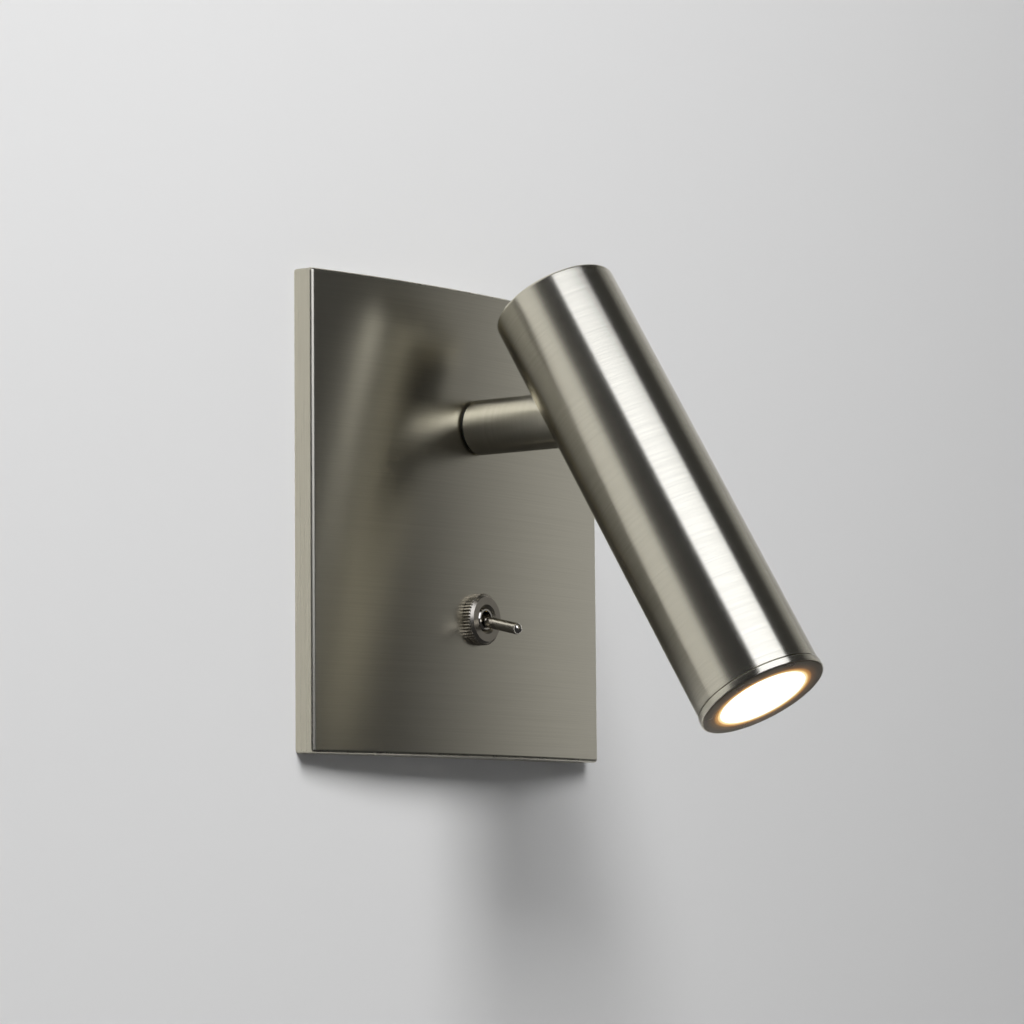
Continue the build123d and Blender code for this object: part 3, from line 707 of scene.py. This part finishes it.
slotMaterials = {slot: plainFinish(slot, look) for slot, look in finishes.items()}
slotMaterials["satin_nickel"] = shadedPlateEdgeNickel
slotMaterials["earth_wire"] = stripedWire("earth_wire", earthLook)
slotMaterials["lens_acrylic"] = litLens("litFrostedLens", headFrame, lensLook)

for part in frame["record"]["subparts"]:
    node = frame["nodes"][part["node"]]
    for slot in node.material_slots:
        slot.material = slotMaterials[part["material_slot"]]
print("materials on the frame's nodes")

# front plate: a bowed skin with turned-back sides
plate = {
    "size": 130.0,
    "edge": 6.0,  # depth of the sides
    "bow": 6.0,  # how much further the middle stands out
    "wall": 2.2,
    "rounding": 1.0,
    "roundingSegments": 5,
    "cornerAngle": 30,  # degrees, above which an edge is rounded
    "squareBack": 1.0,  # edges this near the wall stay square
    "hollowBack": 2.0,  # the hollow's cutter starts this far behind the wall's face
    "armHole": 10.1,
    "switchHole": 6.5,
    "holeReach": (1, 20),
    "frontFacing": 0.9,  # how squarely a face looks forward to count as the front
    "steps": 96,
}


def bowedOutline(p, halfWidth, inset, back):
    radius = ((p["size"] / 2) ** 2 + p["bow"] ** 2) / (2 * p["bow"])
    centre = radius - p["edge"] - p["bow"]
    xs = [halfWidth * (2 * i / p["steps"] - 1) for i in range(p["steps"] + 1)]
    front = [(x, centre - math.sqrt((radius - inset) ** 2 - x**2)) for x in xs]
    return [(halfWidth, back), (-halfWidth, back), *front]


def makePlate(p):
    half = p["size"] / 2
    bm = prism(bowedOutline(p, half, 0, 0), -half, half)
    bmesh.ops.recalc_face_normals(bm, faces=bm.faces)
    rounded = []
    for e in bm.edges:
        middle = (e.verts[0].co + e.verts[1].co) / 2
        if middle.y < -p["squareBack"] * mm and e.calc_face_angle(0) > math.radians(p["cornerAngle"]):
            rounded.append(e)
    bmesh.ops.bevel(
        bm,
        geom=rounded,
        offset=p["rounding"] * mm,
        segments=p["roundingSegments"],
        profile=0.5,
        affect="EDGES",
        clamp_overlap=True,
    )
    inside = half - p["wall"]
    hollowOutline = bowedOutline(p, inside, p["wall"], p["hollowBack"])
    cutters = [meshFrom(prism(hollowOutline, -inside, inside), "hollow")]
    for outward, hole in ((armFrame, p["armHole"]), (switchFrame, p["switchHole"])):
        cutters.append(meshFrom(prism(circleOutline(hole / 2), *p["holeReach"], outward), "hole"))
    mesh = finishedMesh(meshFrom(bm, "plate"), [plateNickel, shadedPlateEdgeNickel], cutters)
    for face in mesh.polygons:
        # the sides and the inside aren't brushed across as the front is, and take a darker copy of the
        # nickel as painted shade
        face.material_index = 0 if face.normal.y < -p["frontFacing"] else 1
    return mesh


addPiece("frontPlateSkin", makePlate(plate), "wall_unit", ["front_plate"])
print("front plate made")

# ledges for the hooks, pads for the grub screws and the swivel's stop peg stand inside the plate
fittings = {
    "hookX": 30.0,
    "ledge": (16.0, 3.0, 0.9, 2.4),  # width, height, and how far out of the wall it starts and ends
    "grubX": 40.0,
    "pad": (9.0, 3.0, 0.0, 6.0),
    "setIn": 1.0,  # from the plate's inner side to the middle of a ledge or pad
    "pegRadius": 9.6,  # from the arm's axis
    "peg": 2.6,
    "pegDrop": 2.4,  # how far the peg stands in from the plate's skin
    "pegLength": 2.6,
    "pegSides": 24,
}


def makeFittings(f, p):
    inside = p["size"] / 2 - p["wall"]
    outward = axisFrame((0, 0, 0), (0, -1, 0))
    bm = bmesh.new()
    blocks = []
    for side in (-1, 1):
        wide, tall, low, high = f["ledge"]
        blocks.append((side * f["hookX"], inside - f["setIn"], wide, tall, low, high))
        wide, tall, low, high = f["pad"]
        blocks.append((side * f["grubX"], f["setIn"] - inside, wide, tall, low, high))
    for x, z, wide, tall, low, high in blocks:
        # the outward frame's y points down
        corners = [(x - wide / 2, -z - tall / 2), (x + wide / 2, -z - tall / 2)]
        corners += [(x + wide / 2, -z + tall / 2), (x - wide / 2, -z + tall / 2)]
        bm.from_mesh(meshFrom(prism(corners, low, high, outward), "block"))
    pegCentre = (0, -(places["armHeight"] - f["pegRadius"]))
    back = places["plateFront"] - p["wall"] - f["pegDrop"]
    pegOutline = circleOutline(f["peg"] / 2, pegCentre, f["pegSides"])
    bm.from_mesh(meshFrom(prism(pegOutline, back, back + f["pegLength"], outward), "peg"))
    return finishedMesh(meshFrom(bm, "fittings"), [shadedPlateEdgeNickel])


addPiece("plateFittings", makeFittings(fittings, plate), "wall_unit", ["front_plate"])

# arm: a straight tube, measured from the wall
arm = {"radius": 7.7, "bore": 6.2, "start": 12.7, "end": 49.2, "edge": 0.25}


def makeArm(a):
    profile = [
        (a["start"], a["bore"]),
        *arc(a["start"] + a["edge"], a["radius"] - a["edge"], a["edge"], -90, 0),
        (a["end"], a["radius"]),
        (a["end"], a["bore"]),
    ]
    return finishedMesh(turned("arm", armFrame, profile), [armNickel], sharpAngle=50)


addPiece("armTube", makeArm(arm), "arm", ["arm_tube"])
print("arm made")

# head shell: a tube with a rounded closed rear and a slot for the arm on its back
head = {
    "radius": 17.6,
    "bore": 16.0,
    "rear": -38.5,  # lengths along the head are from the tilt pivot
    "front": 89.0,
    "endWall": 2.5,
    "rounding": 0.9,
    "segments": 256,
    "slotWidth": 16.0,
    "slotLow": 8.2,
    "slotHigh": -33.6,
    "slotReach": (0.5, 30),  # from the head's axis out through its back
    "grubAlong": 13.5,
    "grubHole": 3.0,
    "grubSides": 32,
    "grubReach": (8, 30),
    "endFacing": 0.7,  # how squarely a face looks along the head to count as its end
}


def slotOutline(low, high, width, steps=24):
    half = width / 2
    ends = []
    for centre, start in ((high - half, -90), (low + half, 90)):
        angles = [math.radians(start + 180 * i / steps) for i in range(steps + 1)]
        ends += [(half * math.sin(a), centre + half * math.cos(a)) for a in angles]
    return ends


def makeHead(h):
    profile = [
        (h["rear"], 0),
        *arc(h["rear"] + h["rounding"], h["radius"] - h["rounding"], h["rounding"], -90, 0, 10),
        (h["front"], h["radius"]),
        (h["front"], h["bore"]),
        (h["rear"] + h["endWall"], h["bore"]),
        (h["rear"] + h["endWall"], 0),
    ]
    tube = turned("head", headFrame, profile, h["segments"], closed=False)
    # the cutters' z points out of the head's back, and their y runs along the head
    backFrame = axisFrame(headPivot, Vector((1, 0, 0)).cross(headDirection))
    slot = slotOutline(h["slotHigh"], h["slotLow"], h["slotWidth"])
    grub = circleOutline(h["grubHole"] / 2, (0, h["grubAlong"]), h["grubSides"])
    cutters = [
        meshFrom(prism(slot, *h["slotReach"], backFrame), "slot"),
        meshFrom(prism(grub, *h["grubReach"], backFrame), "grub"),
    ]
    mesh = finishedMesh(tube, [headNickel, headEndNickel], cutters)
    for face in mesh.polygons:
        face.material_index = 1 if abs(face.normal.dot(headDirection)) > h["endFacing"] else 0
    return mesh


addPiece("headShell", makeHead(head), "head", ["head_shell"])
print("head shell made")

# bezel: the ring that holds the lens, proud of the shell by a hair
bezel = {
    "radius": 17.9,
    "front": 91.5,
    "back": 89.35,
    "edge": 0.6,
    "backEdge": 0.15,
    "opening": 12.3,
    "openingEdge": 0.12,
    "lensFace": 90.5,
    "seat": 14.4,
    "skirt": 15.95,
    "skirtBack": 82.0,
    "frontFacing": 0.7,
    "paintedGlowMargin": 0.1,  # faces this near the opening's wall take its painted glow
}


def makeBezel(b):
    profile = [
        (b["back"], b["skirt"]),
        *arc(b["back"] + b["backEdge"], b["radius"] - b["backEdge"], b["backEdge"], -90, 0, 3),
        *arc(b["front"] - b["edge"], b["radius"] - b["edge"], b["edge"], 0, 90, 5),
        *arc(b["front"] - b["openingEdge"], b["opening"] + b["openingEdge"], b["openingEdge"], 90, 180, 4),
        (b["lensFace"], b["opening"]),
        (b["lensFace"], b["seat"]),
        (b["skirtBack"], b["seat"]),
        (b["skirtBack"], b["skirt"]),
    ]
    ring = turned("bezel", headFrame, profile, head["segments"])
    mesh = finishedMesh(ring, [headNickel, bezelPaintedGlowNickel], sharpAngle=50)
    axisPoint = headFrame.to_translation()
    for face in mesh.polygons:
        # the front face and the opening's wall take the painted glow of the lamp's light
        out = face.center - axisPoint
        radius = (out - out.dot(headDirection) * headDirection).length
        atFront = face.normal.dot(headDirection) > b["frontFacing"]
        atOpening = radius < (b["opening"] + b["paintedGlowMargin"]) * mm
        face.material_index = 1 if atFront or atOpening else 0
    return mesh


addPiece("bezelRing", makeBezel(bezel), "head", ["bezel_ring"])

# lens: a flat frosted disc with a soft front edge
lens = {"radius": 14.3, "back": 88.5, "front": 90.5, "edge": 0.2, "segments": 128}


def makeLens(d):
    profile = [
        (d["back"], 0),
        (d["back"], d["radius"]),
        *arc(d["front"] - d["edge"], d["radius"] - d["edge"], d["edge"], 0, 90, 3),
        (d["front"], 0),
    ]
    mesh = turned("lens", headFrame, profile, d["segments"], closed=False)
    return finishedMesh(mesh, [slotMaterials["lens_acrylic"]], sharpAngle=50)


addPiece("lensDisc", makeLens(lens), "head", ["lens"])
print("bezel and lens made")

# dress nut: one groove's sector repeated round the switch by geometry nodes
nut = {
    "radius": 7.2,
    "back": 12.0,
    "front": 15.0,
    "grooves": 48,
    "grooveDepth": 0.32,
    "chamfer": 1.0,
    "bore": 3.2,
    "mouth": 0.9,
    "weld": 0.001,  # mm, closer than which neighbouring sectors' points are joined
}


def nutSector(n):
    # columns of one pitch: two stand on the rim's land, one in the groove, one starts the next land
    pitch = 2 * math.pi / n["grooves"]
    root = n["radius"] - n["grooveDepth"]
    bm = bmesh.new()
    columns = []
    for k, land in enumerate((True, True, False, True)):
        angle = pitch * k / 3
        outer = n["radius"] if land else root
        shoulder = n["front"] - n["chamfer"]
        rings = [
            (n["back"], n["bore"]),
            (n["back"], outer),
            (shoulder, outer),
            (shoulder + n["grooveDepth"], root),
            (n["front"], n["radius"] - n["chamfer"]),
            (n["front"], n["bore"] + n["mouth"]),
            (n["front"] - n["mouth"], n["bore"]),
        ]
        points = [Vector((r * math.cos(angle), r * math.sin(angle), z)) * mm for z, r in rings]
        columns.append([bm.verts.new(point) for point in points])
    for left, right in zip(columns, columns[1:]):
        for i in range(len(left)):
            j = (i + 1) % len(left)
            bm.faces.new((left[i], right[i], right[j], left[j]))
    mesh = bpy.data.meshes.new("nutSector")
    bm.to_mesh(mesh)
    bm.free()
    return mesh


def repeatRound(name, weld):
    # geometry nodes: turns copies of the incoming mesh about z, joins them and gives them a material
    tree = bpy.data.node_groups.new(name, "GeometryNodeTree")
    face = tree.interface
    face.new_socket("Geometry", in_out="INPUT", socket_type="NodeSocketGeometry")
    face.new_socket("Count", in_out="INPUT", socket_type="NodeSocketInt")
    face.new_socket("Material", in_out="INPUT", socket_type="NodeSocketMaterial")
    face.new_socket("Geometry", in_out="OUTPUT", socket_type="NodeSocketGeometry")
    given = addNode(tree, "NodeGroupInput")
    points = addNode(tree, "GeometryNodeMeshLine", {"Offset": (0, 0, 0)}, {"Count": given.outputs["Count"]})
    index = addNode(tree, "GeometryNodeInputIndex")
    step = addNode(
        tree, "ShaderNodeMath", {0: 2 * math.pi}, {1: given.outputs["Count"]}, operation="DIVIDE"
    )
    turn = addNode(
        tree,
        "ShaderNodeMath",
        {},
        {0: index.outputs["Index"], 1: step.outputs["Value"]},
        operation="MULTIPLY",
    )
    rotation = addNode(tree, "ShaderNodeCombineXYZ", {}, {"Z": turn.outputs["Value"]})
    copies = addNode(
        tree,
        "GeometryNodeInstanceOnPoints",
        {},
        {
            "Points": points.outputs["Mesh"],
            "Instance": given.outputs["Geometry"],
            "Rotation": rotation.outputs["Vector"],
        },
    )
    real = addNode(tree, "GeometryNodeRealizeInstances", {}, {"Geometry": copies.outputs["Instances"]})
    joined = addNode(
        tree,
        "GeometryNodeMergeByDistance",
        {"Distance": weld * mm},
        {"Geometry": real.outputs["Geometry"]},
    )
    dressed = addNode(
        tree,
        "GeometryNodeSetMaterial",
        {},
        {"Geometry": joined.outputs["Geometry"], "Material": given.outputs["Material"]},
    )
    addNode(tree, "NodeGroupOutput", {}, {"Geometry": dressed.outputs["Geometry"]})
    return tree


def grownMesh(mesh, tree, values):
    # runs a geometry nodes tree on a mesh and gives back a plain mesh
    obj = bpy.data.objects.new("grow", mesh)
    bpy.context.collection.objects.link(obj)
    modifier = obj.modifiers.new(tree.name, "NODES")
    modifier.node_group = tree
    for item in tree.interface.items_tree:
        if item.in_out == "INPUT" and item.name in values:
            modifier[item.identifier] = values[item.name]
    result = evaluatedMesh(obj)
    bpy.data.objects.remove(obj)
    return result


def makeNut(n):
    values = {"Count": n["grooves"], "Material": shadedNutNickel}
    grown = grownMesh(nutSector(n), repeatRound("repeatRound", n["weld"]), values)
    bm = bmesh.new()
    bm.from_mesh(grown)
    bmesh.ops.transform(bm, matrix=switchFrame, verts=bm.verts)
    return finishedMesh(meshFrom(bm, "nut"), [shadedNutNickel], sharpAngle=30)


addPiece("dressNut", makeNut(nut), "wall_unit", ["dress_nut"])
print("dress nut made")

# switch lever: turned in one piece with the ball it tilts on, measured from the ball's middle
lever = {
    "length": 15.2,
    "neck": 1.55,
    "tip": 1.6,
    "tipArc": 84,  # degrees of the round tip, short of its pole
    "ball": 2.2,
    "tail": 12.4,
    "tailRadius": 0.8,
    "segments": 64,
}


def makeLever(v):
    ballBack = math.degrees(math.asin(v["tailRadius"] / v["ball"]))
    ballFront = math.degrees(math.asin(v["neck"] / v["ball"]))
    profile = [
        (-v["tail"], 0),
        (-v["tail"], v["tailRadius"]),
        *arc(0, 0, v["ball"], -90 + ballBack, 90 - ballFront, 16),
        *arc(v["length"] - v["tip"], 0, v["tip"], 0, v["tipArc"], 8),
        (v["length"], 0),
    ]
    mesh = turned("lever", leverFrame, profile, v["segments"], closed=False)
    return finishedMesh(mesh, [slotMaterials["polished_nickel"]], sharpAngle=50)


addPiece("switchLever", makeLever(lever), "lever", ["switch_lever"])
print("switch made")

# stage: the wall it hangs on, a floor well below, and a dim room in front
stage = {
    "reach": 3.0,  # m, half the wall's width
    "floorDrop": 1.1,  # m below the lamp
    "wallTop": 2.4,  # m above the lamp
    "wallHole": 0.062,  # m, half the opening behind the plate
    "wallColor": "#e6e6e6",
    "floorColor": "#dedede",
    "paintRough": 0.85,
    "paintIor": 1.4,
    "paintGrain": (3, 3, 3),  # mm, the roller's stipple
    "paintDepth": 0.1,  # mm
    "roomRadius": 2.8,
    "roomSegments": (48, 24),
    # the room's glow from the left-hand wall (0) through straight ahead (0.5) to the right-hand wall (1)
    "roomSteps": ((0.35, 0.02), (0.55, 0.04), (0.82, 0.045), (0.965, 0.45)),
    "flagColor": "#363638",
    "leftFlag": 0.30,  # m left of the lamp
    "leftFlagDepth": 0.18,
    "lowFlag": 0.21,  # m below the lamp
}


def quad(name, corners, material):
    bm = bmesh.new()
    bm.faces.new([bm.verts.new(corner) for corner in corners])
    mesh = bpy.data.meshes.new(name)
    bm.to_mesh(mesh)
    bm.free()
    mesh.materials.append(material)
    obj = bpy.data.objects.new(name, mesh)
    bpy.context.collection.objects.link(obj)
    return obj


def stagePaint(name, color, seeThrough, s):
    # matt emulsion paint, rolled; the wall's back can be looked through
    material, tree = newMaterial(name)
    roll = addNode(
        tree,
        "ShaderNodeTexNoise",
        {"Scale": 1.0, "Detail": 4.0},
        {"Vector": grainCoords(tree, s["paintGrain"]).outputs["Vector"]},
    )
    bump = addNode(
        tree,
        "ShaderNodeBump",
        {"Strength": 0.05, "Distance": s["paintDepth"] * mm},
        {"Height": roll.outputs["Fac"]},
    )
    paint = addNode(
        tree,
        "ShaderNodeBsdfPrincipled",
        {"Base Color": linear(color), "Roughness": s["paintRough"], "IOR": s["paintIor"]},
        {"Normal": bump.outputs["Normal"]},
    )
    surface = paint.outputs["BSDF"]
    if seeThrough:
        geometry = addNode(tree, "ShaderNodeNewGeometry")
        clear = addNode(tree, "ShaderNodeBsdfTransparent")
        both = addNode(tree, "ShaderNodeMixShader", {}, {0: geometry.outputs["Backfacing"], 1: surface})
        tree.links.new(clear.outputs["BSDF"], both.inputs[2])
        surface = both.outputs["Shader"]
    addNode(tree, "ShaderNodeOutputMaterial", {}, {"Surface": surface})
    return material


def roomGlow(name, s):
    # the dim room that the metal reflects: dark in front, much lighter by the right-hand wall
    material, tree = newMaterial(name)
    coords = addNode(tree, "ShaderNodeTexCoord")
    direction = addNode(
        tree, "ShaderNodeVectorMath", {}, {0: coords.outputs["Object"]}, operation="NORMALIZE"
    )
    split = addNode(tree, "ShaderNodeSeparateXYZ", {}, {"Vector": direction.outputs["Vector"]})
    across = addNode(
        tree, "ShaderNodeMapRange", {"From Min": -1.0, "From Max": 1.0}, {"Value": split.outputs["X"]}
    )
    ramp = addNode(tree, "ShaderNodeValToRGB", {}, {"Fac": across.outputs["Result"]})
    elements = ramp.color_ramp.elements
    while len(elements) < len(s["roomSteps"]):
        elements.new(0.5)
    for element, (position, level) in zip(elements, s["roomSteps"]):
        element.position = position
        element.color = (level, level, level, 1.0)
    glow = addNode(tree, "ShaderNodeEmission", {"Strength": 1.0}, {"Color": ramp.outputs["Color"]})
    addNode(tree, "ShaderNodeOutputMaterial", {}, {"Surface": glow.outputs["Emission"]})
    return material


def newFlagCloth(name, color):
    # black cloth at the level that a dim room leaves on it
    material, tree = newMaterial(name)
    glow = addNode(tree, "ShaderNodeEmission", {"Color": linear(color), "Strength": 1.0})
    addNode(tree, "ShaderNodeOutputMaterial", {}, {"Surface": glow.outputs["Emission"]})
    return material


def makeStage(s):
    reach, drop, top = s["reach"], -s["floorDrop"], s["wallTop"]
    wallPaint = stagePaint("wallPaint", s["wallColor"], True, s)
    # the wall is laid round a square opening that the plate hides
    outer = [(-reach, 0, drop), (reach, 0, drop), (reach, 0, top), (-reach, 0, top)]
    inner = [(x * s["wallHole"], 0, z * s["wallHole"]) for x, z in ((-1, -1), (1, -1), (1, 1), (-1, 1))]
    for i in range(4):
        j = (i + 1) % 4
        quad("wall", [outer[i], outer[j], inner[j], inner[i]], wallPaint)
    floorPaint = stagePaint("floorPaint", s["floorColor"], False, s)
    floorCorners = [(x * reach, y * reach, drop) for x, y in ((-1, -1), (1, -1), (1, 1), (-1, 1))]
    quad("floor", floorCorners, floorPaint)
    # two dark flags that only the metal sees: one ends the wall on the left, one hides the floor
    left, depth, low = -s["leftFlag"], -s["leftFlagDepth"], -s["lowFlag"]
    cloth = newFlagCloth("flagCloth", s["flagColor"])
    side = [(left, 0, drop), (left, depth, drop), (left, depth, top), (left, 0, top)]
    under = [(-reach, -reach, low), (reach, -reach, low), (reach, 0, low), (-reach, 0, low)]
    for name, corners in (("leftFlag", side), ("lowFlag", under)):
        flag = quad(name, corners, cloth)
        flag.visible_camera = flag.visible_diffuse = flag.visible_shadow = False
    # the room is half a sphere in front of the wall
    bm = bmesh.new()
    around, upward = s["roomSegments"]
    bmesh.ops.create_uvsphere(bm, u_segments=around, v_segments=upward, radius=s["roomRadius"])
    behind = [v for v in bm.verts if v.co.y > mm]
    bmesh.ops.delete(bm, geom=behind, context="VERTS")
    mesh = bpy.data.meshes.new("room")
    bm.to_mesh(mesh)
    bm.free()
    mesh.materials.append(roomGlow("roomGlow", s))
    room = bpy.data.objects.new("room", mesh)
    bpy.context.collection.objects.link(room)
    room.visible_camera = room.visible_shadow = False


makeStage(stage)

# lights: angles in degrees from straight out of the wall, distances and sizes in m
lights = {
    # the softbox that the metal mirrors
    "key": {
        "azimuth": -24,
        "elevation": 32,
        "distance": 1.5,
        "size": (1.48, 1.45),
        "radiance": 1.78,
        "color": (0.97, 1.01, 1.15),
    },
    # the smaller one that lights the wall and throws the shadows
    "wallLamp": {
        "azimuth": -25,
        "elevation": 36,
        "distance": 1.3,
        "size": (0.72, 0.72),
        "radiance": 10.9,
        "color": (1.0, 1.0, 1.0),
    },
}
worldLook = {"color": "#e8e8e8", "strength": 0.9}


def addSoftbox(name, lamp, mirrored):
    # a mirrored softbox shows in reflections alone, the other kind lights matt surfaces alone
    azimuth, elevation = math.radians(lamp["azimuth"]), math.radians(lamp["elevation"])
    level = math.cos(elevation)
    out = Vector((math.sin(azimuth) * level, -math.cos(azimuth) * level, math.sin(elevation)))
    data = bpy.data.lights.new(name, "AREA")
    data.shape = "RECTANGLE"
    data.size, data.size_y = lamp["size"]
    data.color = lamp["color"]
    data.energy = lamp["radiance"] * math.pi * data.size * data.size_y  # watts
    obj = bpy.data.objects.new(name, data)
    obj.location = out * lamp["distance"]
    obj.rotation_mode = "QUATERNION"
    obj.rotation_quaternion = (-out).to_track_quat("-Z", "Y")
    obj.visible_camera = False
    obj.visible_glossy = mirrored
    obj.visible_diffuse = not mirrored
    bpy.context.collection.objects.link(obj)


addSoftbox("keySoftbox", lights["key"], True)
addSoftbox("wallLamp", lights["wallLamp"], False)

world = bpy.data.worlds.new("paleRoom")
bpy.context.scene.world = world
world.use_nodes = True
world.node_tree.nodes.clear()
worldValues = {"Color": linear(worldLook["color"]), "Strength": worldLook["strength"]}
background = addNode(world.node_tree, "ShaderNodeBackground", worldValues)
addNode(world.node_tree, "ShaderNodeOutputWorld", {}, {"Surface": background.outputs["Background"]})
bpy.context.scene.view_settings.view_transform = "Standard"
print("stage and lights set")
